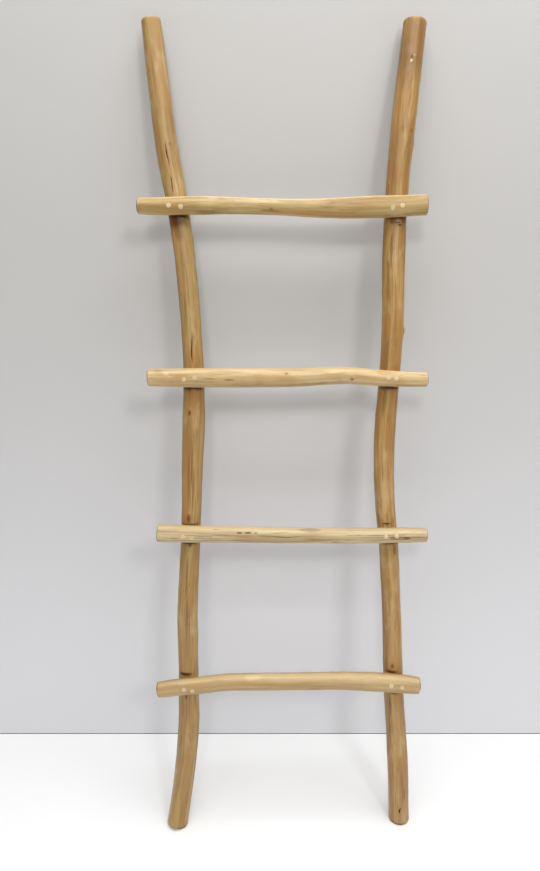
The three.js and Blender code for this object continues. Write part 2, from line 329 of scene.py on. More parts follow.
# ---- Growing a skin ----
def peeled_branch_tree():
    """A closed skin round a line: it swells with the girth, rounds off its ends, and is peeled and whittled."""
    tree = bpy.data.node_groups.new("peeled_branch", "GeometryNodeTree")
    nodes = Nodes(tree)
    given = inputs_of(
        tree,
        ("Line", "Geometry", None),
        ("Ring Spacing", "Float", 2 * MM),
        ("Sides", "Int", 48),
        ("Edge Radius", "Float", 4 * MM),
        ("Extra Radius", "Float", 0.0),
        ("Lump Height", "Float", 0.8 * MM),
        ("Facet Depth", "Float", 0.6 * MM),
        ("Ridge Depth", "Float", 0.1 * MM),
        ("Seed", "Float", 0.0),
        ("Wood", "Material", None),
    ).outputs

    curve = nodes.add("GeometryNodeMeshToCurve", {"Mesh": given["Line"]}).outputs[0]
    resample = nodes.add("GeometryNodeResampleCurve", {"Curve": curve}, mode="LENGTH")
    nodes.feed(resample.inputs["Length"], given["Ring Spacing"])
    along = nodes.add("GeometryNodeSplineParameter").outputs["Length"]
    whole = nodes.add("GeometryNodeSplineLength").outputs["Length"]
    to_end = nodes.maths("MINIMUM", along, nodes.maths("SUBTRACT", whole, along))
    short = nodes.maths("MAXIMUM", nodes.maths("SUBTRACT", given["Edge Radius"], to_end), 0.0)
    squares = nodes.maths("SUBTRACT", nodes.maths("POWER", given["Edge Radius"], 2.0),
                          nodes.maths("POWER", short, 2.0))
    rounding = nodes.maths("SUBTRACT", given["Edge Radius"],
                           nodes.maths("SQRT", nodes.maths("MAXIMUM", squares, 0.0)))
    girth = nodes.add("GeometryNodeInputNamedAttribute", {"Name": "girth"}, data_type="FLOAT").outputs[0]
    swollen = nodes.maths("ADD", girth, given["Extra Radius"])
    radius = nodes.maths("SUBTRACT", swollen, rounding)
    spine = nodes.add("GeometryNodeCaptureAttribute", {"Geometry": resample.outputs[0]})
    spine.capture_items.new("FLOAT", "Along")
    spine.capture_items.new("FLOAT", "To End")
    nodes.feed(spine.inputs["Along"], along)
    nodes.feed(spine.inputs["To End"], to_end)

    circle = nodes.add("GeometryNodeCurvePrimitiveCircle", {"Resolution": given["Sides"], "Radius": 1.0})
    around = nodes.add("GeometryNodeCaptureAttribute", {"Geometry": circle.outputs[0]})
    around.capture_items.new("FLOAT", "Turn")
    nodes.feed(around.inputs["Turn"], nodes.add("GeometryNodeSplineParameter").outputs["Factor"])
    tube = nodes.add("GeometryNodeCurveToMesh", {
        "Curve": spine.outputs[0], "Profile Curve": around.outputs[0], "Scale": radius, "Fill Caps": True,
    })

    angle = nodes.maths("MULTIPLY", around.outputs["Turn"], math.tau)
    straight = nodes.add("ShaderNodeCombineXYZ", {
        "X": nodes.maths("MULTIPLY", nodes.maths("COSINE", angle), 18 * MM),
        "Y": nodes.maths("MULTIPLY", nodes.maths("SINE", angle), 18 * MM),
        "Z": nodes.maths("ADD", spine.outputs["Along"], given["Seed"]),
    }).outputs[0]
    lumps = nodes.maths("SUBTRACT", nodes.noise(nodes.stretch(straight, 38, 22), detail=2.5), 0.5)
    facets = nodes.add("ShaderNodeTexVoronoi", {
        "Vector": nodes.stretch(straight, 62, 9), "Scale": 1.0, "Smoothness": 0.35, "Randomness": 0.9,
    }, feature="SMOOTH_F1").outputs["Distance"]
    scoops = nodes.maths("SUBTRACT", nodes.maths("POWER", facets, 2.0), 0.25)
    ridges = nodes.maths("SUBTRACT", nodes.noise(nodes.stretch(straight, 420, 14), detail=2), 0.5)
    carve = nodes.maths("MULTIPLY", lumps, nodes.maths("MULTIPLY", given["Lump Height"], 2.0))
    carve = nodes.maths("MULTIPLY_ADD", scoops, nodes.maths("MULTIPLY", given["Facet Depth"], 2.0), carve)
    carve = nodes.maths("MULTIPLY_ADD", ridges, nodes.maths("MULTIPLY", given["Ridge Depth"], 2.0), carve)
    calm = nodes.remap(spine.outputs["To End"], 0.0, 5 * MM, 0.25, 1.0)
    lift = nodes.vector("SCALE", nodes.add("GeometryNodeInputNormal").outputs[0])
    nodes.feed(lift.node.inputs["Scale"], nodes.maths("MULTIPLY", carve, calm))
    moved = nodes.add("GeometryNodeSetPosition", {"Geometry": tube.outputs[0], "Offset": lift})

    real = nodes.add("GeometryNodeRealizeInstances", {"Geometry": moved.outputs[0]})
    dressed = nodes.add("GeometryNodeSetMaterial", {"Geometry": real.outputs[0], "Material": given["Wood"]})
    outputs_of(tree, Skin=("Geometry", dressed.outputs[0]))
    return tree


# ---- Cutting ----
def carve(target, cutter, operation="DIFFERENCE"):
    """Cuts one closed object with another, keeping the cutter's own material on the faces it leaves."""
    modifier = target.modifiers.new("cut", "BOOLEAN")
    modifier.operation = operation
    modifier.object = cutter
    modifier.solver = "MANIFOLD"
    modifier.material_mode = "TRANSFER"
    shaped = target.evaluated_get(bpy.context.evaluated_depsgraph_get())
    made = bpy.data.meshes.new_from_object(shaped)
    target.modifiers.clear()
    old = target.data
    target.data = made
    made.name = old.name
    bpy.data.meshes.remove(old)


def discard(made):
    mesh = made.data
    bpy.data.objects.remove(made)
    bpy.data.meshes.remove(mesh)


def turned_mesh(name, profile, sides, origin, direction):
    """A solid of revolution from [radius, height] pairs that start and end on its axis."""
    axis = Vector(direction).normalized()
    turn = axis.to_track_quat("Z", "Y").to_matrix()
    inner = profile[1:-1]
    points = [Vector(origin) + axis * profile[0][1]]
    for radius, height in inner:
        for i in range(sides):
            angle = math.tau * i / sides
            points.append(Vector(origin) + turn @ Vector((radius * math.cos(angle), radius * math.sin(angle), height)))
    points.append(Vector(origin) + axis * profile[-1][1])
    last = len(points) - 1
    faces = [(0, 1 + (i + 1) % sides, 1 + i) for i in range(sides)]
    for ring in range(len(inner) - 1):
        base = 1 + ring * sides
        for i in range(sides):
            after = (i + 1) % sides
            faces.append((base + i, base + after, base + sides + after, base + sides + i))
    base = last - sides
    faces += [(last, base + i, base + (i + 1) % sides) for i in range(sides)]
    mesh = bpy.data.meshes.new(name)
    mesh.from_pydata(points, [], faces)
    return mesh


def along_axis(node):
    """How a packed round part lies: the middle of its back end, and its length towards the front."""
    points = vertices_of(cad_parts[node].data) @ RAIL_AXES.T
    low, high = points.min(0), points.max(0)
    back = np.array(((low[0] + high[0]) / 2, low[1], (low[2] + high[2]) / 2))
    return back @ RAIL_AXES, high[1] - low[1]


def bore_cutter(screw, plug):
    """The room for a screw, its head and its plug, as one stepped hole that opens at the front."""
    tip, long = along_axis(screw)
    floor, _ = along_axis(plug)
    seat = float((floor - tip) @ OUTWARD)
    shank, head, bore = SCREW_RADIUS + HOLE_GAP, HEAD_RADIUS + HOLE_GAP, PLUG_RADIUS + BORE_GAP
    profile = [
        [0, -HOLE_GAP],
        [shank, -HOLE_GAP],
        [shank, long - HEAD_HEIGHT - HOLE_GAP],
        [head, long - HEAD_HEIGHT - HOLE_GAP],
        [head, seat],
        [bore, seat],
        [bore, seat + BORE_REACH],
        [0, seat + BORE_REACH],
    ]
    return turned_mesh("bore", profile, 48, tip, OUTWARD)


def to_metres(crack):
    length, angle, *sizes = crack
    return (length * MM, angle, *(size * MM for size in sizes))


def crack_cutter(branch, length, angle, long, wide, deep):
    """A blade, sharp at both ends and along its inner edge, that opens a drying crack along the grain."""
    steps = 14
    rows = []
    for i in range(steps + 1):
        share = i / steps
        open_here = max(math.sin(math.pi * share), 0.02) ** 0.8
        at = length + (share - 0.5) * long
        stray = 1.2 * MM * math.sin(5.1 * share + length * 90)
        girth = math.hypot(*branch.spot(at, 0)[:2])
        half = math.degrees((wide * open_here / 2) / girth)
        turn = angle + math.degrees(stray / girth)
        out = 1 + 3 * MM / girth
        inner = 1 - deep * open_here / girth
        rows.append([branch.place(at, turn - half * 3, out), branch.place(at, turn + half * 3, out),
                     branch.place(at, turn, inner)])
    points = [point for row in rows for point in row]
    faces = [(0, 1, 2), (3 * steps + 2, 3 * steps + 1, 3 * steps)]
    for i in range(steps):
        for first, second in ((0, 1), (1, 2), (2, 0)):
            base, after = 3 * i, 3 * i + 3
            faces.append((base + second, base + first, after + first, after + second))
    mesh = bpy.data.meshes.new("crack")
    mesh.from_pydata([tuple(point) for point in points], [], faces)
    return mesh


def joined(name, meshes, material):
    """Several closed meshes as one cutter of one material, with every face turned outwards."""
    points, faces = [], []
    for mesh in meshes:
        base = len(points)
        solid = vertices_of(mesh)
        points.extend(solid.tolist())
        faces.extend([tuple(base + v for v in polygon.vertices) for polygon in mesh.polygons])
        bpy.data.meshes.remove(mesh)
    made = bpy.data.meshes.new(name)
    made.from_pydata(points, [], faces)
    tidy = bmesh.new()
    tidy.from_mesh(made)
    bmesh.ops.recalc_face_normals(tidy, faces=tidy.faces)
    tidy.to_mesh(made)
    tidy.free()
    made.materials.append(material)
    return new_object(name, made)


# ---- Plugs and screws ----
def points_mesh(name, places, **values):
    """Loose points, each with its own numbers."""
    mesh = bpy.data.meshes.new(name)
    mesh.from_pydata([tuple(place) for place in places], [], [])
    for key, numbers in values.items():
        mesh.attributes.new(key, "FLOAT", "POINT").data.foreach_set("value", numbers)
    return mesh


def turned_rows_tree(name, threaded):
    """One turned rod at every point, as long as the point says, laid along the given direction."""
    tree = bpy.data.node_groups.new(name, "GeometryNodeTree")
    nodes = Nodes(tree)
    given = inputs_of(
        tree,
        ("Points", "Geometry", None),
        ("Nominal Length", "Float", 30 * MM),
        ("Shank Radius", "Float", 2 * MM),
        ("Head Radius", "Float", 4 * MM),
        ("Head Height", "Float", 2.4 * MM),
        ("Point Length", "Float", 7 * MM),
        ("Thread Pitch", "Float", 1.6 * MM),
        ("Thread Depth", "Float", 0.5 * MM),
        ("Sides", "Int", 24),
        ("Ring Spacing", "Float", 0.4 * MM),
        ("Direction", "Vector", (0, -1, 0)),
        ("Finish", "Material", None),
    ).outputs
    end = nodes.add("ShaderNodeCombineXYZ", {"Z": given["Nominal Length"]}).outputs[0]
    core = nodes.add("GeometryNodeCurvePrimitiveLine", {"End": end}).outputs[0]
    resample = nodes.add("GeometryNodeResampleCurve", {"Curve": core}, mode="LENGTH")
    nodes.feed(resample.inputs["Length"], given["Ring Spacing"])
    along = nodes.add("GeometryNodeSplineParameter").outputs["Length"]
    to_head = nodes.maths("SUBTRACT", given["Nominal Length"], along)
    radius = given["Shank Radius"]
    if threaded:
        taper = nodes.remap(along, 0.0, given["Point Length"], 0.04, 1.0, smooth=False)
        in_head = nodes.maths("LESS_THAN", to_head, given["Head Height"])
        flare = nodes.remap(to_head, 0.4 * MM, given["Head Height"], given["Head Radius"], given["Shank Radius"],
                            smooth=False)
        shank = nodes.maths("MULTIPLY", given["Shank Radius"], taper)
        grown = nodes.maths("MULTIPLY", in_head, nodes.maths("SUBTRACT", flare, shank))
        radius = nodes.maths("ADD", shank, grown)
    spine = nodes.add("GeometryNodeCaptureAttribute", {"Geometry": resample.outputs[0]})
    spine.capture_items.new("FLOAT", "Along")
    nodes.feed(spine.inputs["Along"], along)
    circle = nodes.add("GeometryNodeCurvePrimitiveCircle", {"Resolution": given["Sides"], "Radius": 1.0})
    around = nodes.add("GeometryNodeCaptureAttribute", {"Geometry": circle.outputs[0]})
    around.capture_items.new("FLOAT", "Turn")
    nodes.feed(around.inputs["Turn"], nodes.add("GeometryNodeSplineParameter").outputs["Factor"])
    rod = nodes.add("GeometryNodeCurveToMesh", {
        "Curve": spine.outputs[0], "Profile Curve": around.outputs[0], "Scale": radius, "Fill Caps": True,
    }).outputs[0]
    if threaded:
        turns = nodes.maths("SUBTRACT", nodes.maths("DIVIDE", spine.outputs["Along"], given["Thread Pitch"]),
                            around.outputs["Turn"])
        wave = nodes.maths("PINGPONG", turns, 0.5)
        crest = nodes.maths("POWER", nodes.maths("MULTIPLY", wave, 2.0), 4.0)
        plain_end = nodes.maths("MULTIPLY", given["Nominal Length"], 0.62)
        cut = nodes.maths("LESS_THAN", spine.outputs["Along"], plain_end)
        root = nodes.maths("MULTIPLY", nodes.maths("SUBTRACT", crest, 1.0), given["Thread Depth"])
        worn = nodes.remap(spine.outputs["Along"], 0.0, given["Point Length"], 0.1, 1.0)
        depth = nodes.maths("MULTIPLY", nodes.maths("MULTIPLY", root, cut), worn)
        lift = nodes.vector("SCALE", nodes.add("GeometryNodeInputNormal").outputs[0])
        nodes.feed(lift.node.inputs["Scale"], depth)
        rod = nodes.add("GeometryNodeSetPosition", {"Geometry": rod, "Offset": lift}).outputs[0]
    long = nodes.add("GeometryNodeInputNamedAttribute", {"Name": "long"}, data_type="FLOAT").outputs[0]
    size = nodes.add("ShaderNodeCombineXYZ", {
        "X": 1.0, "Y": 1.0, "Z": nodes.maths("DIVIDE", long, given["Nominal Length"]),
    }).outputs[0]
    turn = nodes.add("FunctionNodeAlignRotationToVector", {"Vector": given["Direction"]}, axis="Z").outputs[0]
    placed = nodes.add("GeometryNodeInstanceOnPoints", {
        "Points": given["Points"], "Instance": rod, "Rotation": turn, "Scale": size,
    }).outputs[0]
    real = nodes.add("GeometryNodeRealizeInstances", {"Geometry": placed}).outputs[0]
    dressed = nodes.add("GeometryNodeSetMaterial", {"Geometry": real, "Material": given["Finish"]})
    outputs_of(tree, Rods=("Geometry", dressed.outputs[0]))
    return tree


# ---- Wood ----
BARK_BROWN = colour(100, 62, 30)
DARK_BROWN = colour(66, 32, 8)
RED_BROWN = colour(138, 88, 42)
AMBER = colour(172, 116, 58)
PALE = colour(220, 198, 150)
GREY_PURPLE = colour(150, 124, 112)
# Brown of the painted shade that the rungs cast on the rails below them.
RUNG_SHADOW_BROWN = colour(104, 62, 20)


def figure_tree():
    """Peeled wood before its marks: blotches, streaks and fibres that run along the grain."""
    tree = bpy.data.node_groups.new("peeled_figure", "ShaderNodeTree")
    nodes = Nodes(tree)
    given = inputs_of(
        tree,
        ("Grain", "Vector", None),
        ("Seed", "Float", 0.0),
        ("Light", "Color", None),
        ("Middle", "Color", None),
        ("Deep", "Color", None),
        ("Streaks", "Float", 0.5),
        ("Blotches", "Float", 0.5),
        ("Flecks", "Float", 0.5),
    ).outputs
    shift = nodes.add("ShaderNodeCombineXYZ", {"Z": given["Seed"]}).outputs[0]
    place = nodes.vector("ADD", given["Grain"], shift)
    wander = nodes.add("ShaderNodeTexNoise", {
        "Vector": nodes.stretch(place, 30, 7), "Scale": 1.0, "Detail": 2.0,
    }).outputs["Color"]
    wander = nodes.vector("MULTIPLY", nodes.vector("SUBTRACT", wander, (0.5, 0.5, 0.5)), (0.008, 0.008, 0.03))
    path = nodes.vector("ADD", place, wander)
    broad = nodes.noise(nodes.stretch(path, 95, 4.5), detail=3, roughness=0.55)
    fine = nodes.noise(nodes.stretch(path, 330, 9), detail=4, roughness=0.6)
    hair = nodes.noise(nodes.stretch(path, 1500, 26), detail=2, roughness=0.6)
    blotch = nodes.noise(nodes.stretch(place, 34, 15), detail=4, roughness=0.6)
    fleck = nodes.noise(nodes.stretch(path, 260, 22), detail=3, roughness=0.5)

    base = nodes.blend(nodes.remap(broad, 0.36, 0.62), given["Light"], given["Middle"])
    streak = nodes.maths("MULTIPLY", nodes.remap(fine, 0.5, 0.72), given["Streaks"])
    base = nodes.blend(streak, base, given["Deep"])
    warm = nodes.maths("MULTIPLY", nodes.remap(blotch, 0.5, 0.72), given["Blotches"])
    base = nodes.blend(warm, base, AMBER)
    pale = nodes.maths("MULTIPLY", nodes.remap(blotch, 0.47, 0.3), given["Blotches"])
    base = nodes.blend(nodes.maths("MULTIPLY", pale, 0.55), base, PALE)
    scratch = nodes.maths("MULTIPLY", nodes.remap(fleck, 0.64, 0.76), given["Flecks"])
    base = nodes.blend(scratch, base, BARK_BROWN)
    shade = nodes.remap(hair, 0.25, 0.75, 0.9, 1.08, smooth=False)
    base = nodes.blend(1.0, base, nodes.add("ShaderNodeCombineColor", {
        "Red": shade, "Green": shade, "Blue": shade}).outputs[0], kind="MULTIPLY")
    relief = nodes.maths("MULTIPLY_ADD", fine, 0.6, nodes.maths("MULTIPLY", hair, 0.4))
    relief = nodes.maths("MULTIPLY_ADD", broad, 0.5, relief)
    gloss = nodes.remap(fine, 0.3, 0.7, 0.38, 0.52)
    outputs_of(tree, Color=("Color", base), Relief=("Float", relief), Roughness=("Float", gloss))
    return tree


def mark_tree():
    """How far a point is into a ragged patch on the branch: 1 in its middle, 0 outside it."""
    tree = bpy.data.node_groups.new("mark", "ShaderNodeTree")
    nodes = Nodes(tree)
    given = inputs_of(
        tree,
        ("Grain", "Vector", None),
        ("Centre", "Vector", None),
        ("Size", "Vector", None),
        ("Ragged", "Float", 0.3),
        ("Softness", "Float", 0.5),
    ).outputs
    away = nodes.vector("DIVIDE", nodes.vector("SUBTRACT", given["Grain"], given["Centre"]), given["Size"])
    edge = nodes.maths("SUBTRACT", nodes.noise(nodes.stretch(given["Grain"], 420, 60), detail=3), 0.5)
    reach = nodes.maths("MULTIPLY_ADD", edge, given["Ragged"], nodes.vector("LENGTH", away))
    inner = nodes.maths("SUBTRACT", 1.0, given["Softness"])
    outputs_of(tree, Mask=("Float", nodes.remap(reach, 1.0, inner)))
    return tree


def raise_bumps(mesh, branch, bumps):
    """Swells a skin round the places where side shoots grew."""
    points = vertices_of(mesh)
    straight = branch.straighten(points)
    out = straight * (1, 1, 0)
    out /= np.maximum(np.linalg.norm(out, axis=1, keepdims=True), 1e-6)
    lift = np.zeros(len(points))
    for length, angle, wide, long, height in bumps:
        away = (straight - branch.spot(length * MM, angle)) / (wide * MM, wide * MM, long * MM)
        lift += height * MM * np.exp(-(away ** 2).sum(1))
    points += (out * lift[:, None]) @ branch.axes
    mesh.vertices.foreach_set("co", points.ravel())
    mesh.update()


def end_grain(name, light, dark, seed):
    """Sawn end: rings round the pith, rays, and a few drying checks."""
    material, nodes, shader = new_material(name)
    grain = nodes.add("ShaderNodeAttribute", attribute_name="grain").outputs["Vector"]
    flat = nodes.vector("MULTIPLY", grain, (1, 1, 0))
    flat = nodes.vector("ADD", flat, (0.002 * math.sin(seed), 0.002 * math.cos(seed), 0))
    wobble = nodes.noise(nodes.stretch(grain, 90, 90), detail=3)
    out = nodes.maths("MULTIPLY_ADD", wobble, 0.003, nodes.vector("LENGTH", flat))
    ring = nodes.maths("PINGPONG", nodes.maths("MULTIPLY", out, 1000 / 1.9), 1.0)
    base = nodes.blend(nodes.remap(ring, 0.55, 1.0, 0.0, 0.7), light, dark)
    split = nodes.add("ShaderNodeSeparateXYZ", {"Vector": flat})
    angle = nodes.maths("ARCTAN2", split.outputs["Y"], split.outputs["X"])
    spoke = nodes.add("ShaderNodeCombineXYZ", {
        "X": nodes.maths("MULTIPLY", angle, 22.0), "Y": nodes.maths("MULTIPLY", out, 120.0), "Z": seed,
    }).outputs[0]
    rays = nodes.remap(nodes.noise(spoke, detail=3), 0.45, 0.75, 0.0, 0.4)
    base = nodes.blend(rays, base, dark)
    fork = nodes.add("ShaderNodeCombineXYZ", {
        "X": nodes.maths("MULTIPLY", angle, 1.1), "Y": nodes.maths("MULTIPLY", out, 14.0), "Z": seed,
    }).outputs[0]
    check = nodes.maths("ABSOLUTE", nodes.maths("SUBTRACT", nodes.noise(fork, detail=1), 0.5))
    inside = nodes.remap(out, 0.015, 0.008)
    check = nodes.maths("MULTIPLY", nodes.remap(check, 0.011, 0.003), inside)
    base = nodes.blend(check, base, DARK_BROWN)
    nodes.feed(shader.inputs["Base Color"], base)
    nodes.feed(shader.inputs["Roughness"], 0.72)
    pores = nodes.noise(nodes.stretch(grain, 2600, 2600), detail=2)
    height = nodes.maths("SUBTRACT", pores, nodes.maths("MULTIPLY", check, 4.0))
    bump(nodes, shader, height, 0.35, 0.2 * MM)
    return material


def new_material(name):
    material = bpy.data.materials.new(name)
    material.use_nodes = True
    material.node_tree.nodes.clear()
    nodes = Nodes(material.node_tree)
    shader = nodes.add("ShaderNodeBsdfPrincipled")
    out = nodes.add("ShaderNodeOutputMaterial", {"Surface": shader.outputs[0]})
    out.is_active_output = True
    return material, nodes, shader


def bump(nodes, shader, height, strength, distance):
    made = nodes.add("ShaderNodeBump", {"Height": height, "Strength": strength, "Distance": distance})
    nodes.feed(shader.inputs["Normal"], made.outputs[0])


def plain_wood(name, tint, seed):
    """Wood that a tool or a crack has laid open, darker than the skin: painted shade in the seats, bores and cracks.
    """
    material, nodes, shader = new_material(name)
    grain = nodes.add("ShaderNodeAttribute", attribute_name="grain").outputs["Vector"]
    fine = nodes.noise(nodes.stretch(grain, 700, 20), detail=3)
    shade = nodes.blend(nodes.remap(fine, 0.3, 0.75), tint, DARK_BROWN)
    nodes.feed(shader.inputs["Base Color"], shade)
    nodes.feed(shader.inputs["Roughness"], 0.85)
    bump(nodes, shader, fine, 0.4, 0.3 * MM)
    return material


def branch_wood(branch, look, marks):
    """The skin of one branch: its own figure, then its marks one over another."""
    material, nodes, shader = new_material(branch.node + "_wood")
    grain = nodes.add("ShaderNodeAttribute", attribute_name="grain").outputs["Vector"]
    figure = nodes.add("ShaderNodeGroup", node_tree=FIGURE)
    nodes.feed(figure.inputs["Grain"], grain)
    for name, value in look.items():
        nodes.feed(figure.inputs[name], value)
    skin = figure.outputs["Color"]
    dents = figure.outputs["Relief"]
    for length, angle, wide, long, tint, strength, ragged, softness in marks:
        centre = branch.spot(length * MM, angle)
        mark = nodes.add("ShaderNodeGroup", node_tree=MARK)
        nodes.feed(mark.inputs["Grain"], grain)
        nodes.feed(mark.inputs["Centre"], centre)
        nodes.feed(mark.inputs["Size"], (wide * MM, wide * MM, long * MM))
        nodes.feed(mark.inputs["Ragged"], ragged)
        nodes.feed(mark.inputs["Softness"], softness)
        share = nodes.maths("MULTIPLY", mark.outputs[0], strength)
        skin = nodes.blend(share, skin, tint)
        if sum(tint[:3]) < 0.2:
            dents = nodes.maths("SUBTRACT", dents, nodes.maths("MULTIPLY", share, 0.8))
    nodes.feed(shader.inputs["Base Color"], skin)
    nodes.feed(shader.inputs["Roughness"], figure.outputs["Roughness"])
    nodes.feed(shader.inputs["Specular IOR Level"], 0.5)
    bump(nodes, shader, dents, 0.5, 0.5 * MM)
    return material


def plug_wood():
    """Pale turned plugs, their end grain outwards."""
    material, nodes, shader = new_material("plug_wood")
    place = nodes.add("ShaderNodeTexCoord").outputs["Object"]
    pores = nodes.noise(place, scale=1800, detail=3)
    cloud = nodes.noise(place, scale=160, detail=2)
    base = nodes.blend(nodes.remap(cloud, 0.35, 0.65), colour(222, 202, 162), colour(208, 182, 138))
    base = nodes.blend(nodes.remap(pores, 0.55, 0.8, 0.0, 0.5), base, colour(176, 140, 92))
    nodes.feed(shader.inputs["Base Color"], base)
    nodes.feed(shader.inputs["Roughness"], 0.62)
    bump(nodes, shader, pores, 0.3, 0.2 * MM)
    return material


def screw_steel():
    material, nodes, shader = new_material("screw_steel")
    place = nodes.add("ShaderNodeTexCoord").outputs["Object"]
    brushed = nodes.noise(nodes.vector("MULTIPLY", place, (900, 120, 900)), detail=3)
    base = nodes.blend(brushed, colour(176, 176, 170), colour(205, 204, 196))
    nodes.feed(shader.inputs["Base Color"], base)
    nodes.feed(shader.inputs["Metallic"], 1.0)
    nodes.feed(shader.inputs["Roughness"], nodes.remap(brushed, 0.2, 0.8, 0.28, 0.45))
    bump(nodes, shader, brushed, 0.2, 0.05 * MM)
    return material


# ---- How each branch looks ----
def knot(length, angle, radius, tone=1.0, tall=1.25):
    """A knot as four marks, largest first: warm halo, brown bark ring, amber wood, dark heart."""
    return [
        (length, angle, 2.3 * radius, 3.4 * radius, AMBER, 0.55 * tone, 0.5, 0.7),
        (length, angle, radius, radius * tall, BARK_BROWN, 0.85 * tone, 0.35, 0.3),
        (length, angle, 0.6 * radius, 0.6 * radius * tall, RED_BROWN, 0.6 * tone, 0.3, 0.4),
        (length, angle, 0.4 * radius, 0.44 * radius * tall, DARK_BROWN, 0.95 * tone, 0.4, 0.4),
    ]


def streak(length, angle, wide, long, tint=BARK_BROWN, strength=0.8):
    return [(length, angle, wide, long, tint, strength, 0.7, 0.6)]


def painted_rung_shadow(length, reach, strength):
    """Painted shadow that a rung casts on a rail: a dark line where the rung's underside meets the rail, and painted
    shade that fades out below it.
    """
    return [
        (length, 0, 30, 2.5 * reach, RUNG_SHADOW_BROWN, 0.6 * strength, 0.8, 0.9),
        (length, 0, 30, reach, DARK_BROWN, strength, 0.5, 0.8),
    ]


def look(light, middle, deep, streaks, blotches, flecks, seed):
    tones = {"Light": colour(*light), "Middle": colour(*middle), "Deep": colour(*deep)}
    return {**tones, "Streaks": streaks, "Blotches": blotches, "Flecks": flecks, "Seed": seed}


LOOKS = {
    "left_rail": look((178, 147, 90), (162, 126, 71), (116, 82, 42), 0.6, 0.45, 0.5, 1.7),
    "right_rail": look((181, 146, 86), (162, 121, 65), (118, 80, 38), 0.6, 0.45, 0.5, 5.3),
    "rung_1": look((184, 156, 98), (152, 123, 67), (120, 86, 42), 0.4, 0.35, 0.3, 9.1),
    "rung_2": look((216, 192, 141), (194, 164, 113), (142, 110, 68), 0.6, 0.3, 0.55, 13.9),
    "rung_3": look((204, 184, 140), (180, 156, 113), (124, 98, 62), 0.9, 0.25, 1.0, 17.3),
    "rung_4": look((190, 162, 113), (174, 143, 94), (138, 104, 60), 0.35, 0.3, 0.2, 21.7),
}
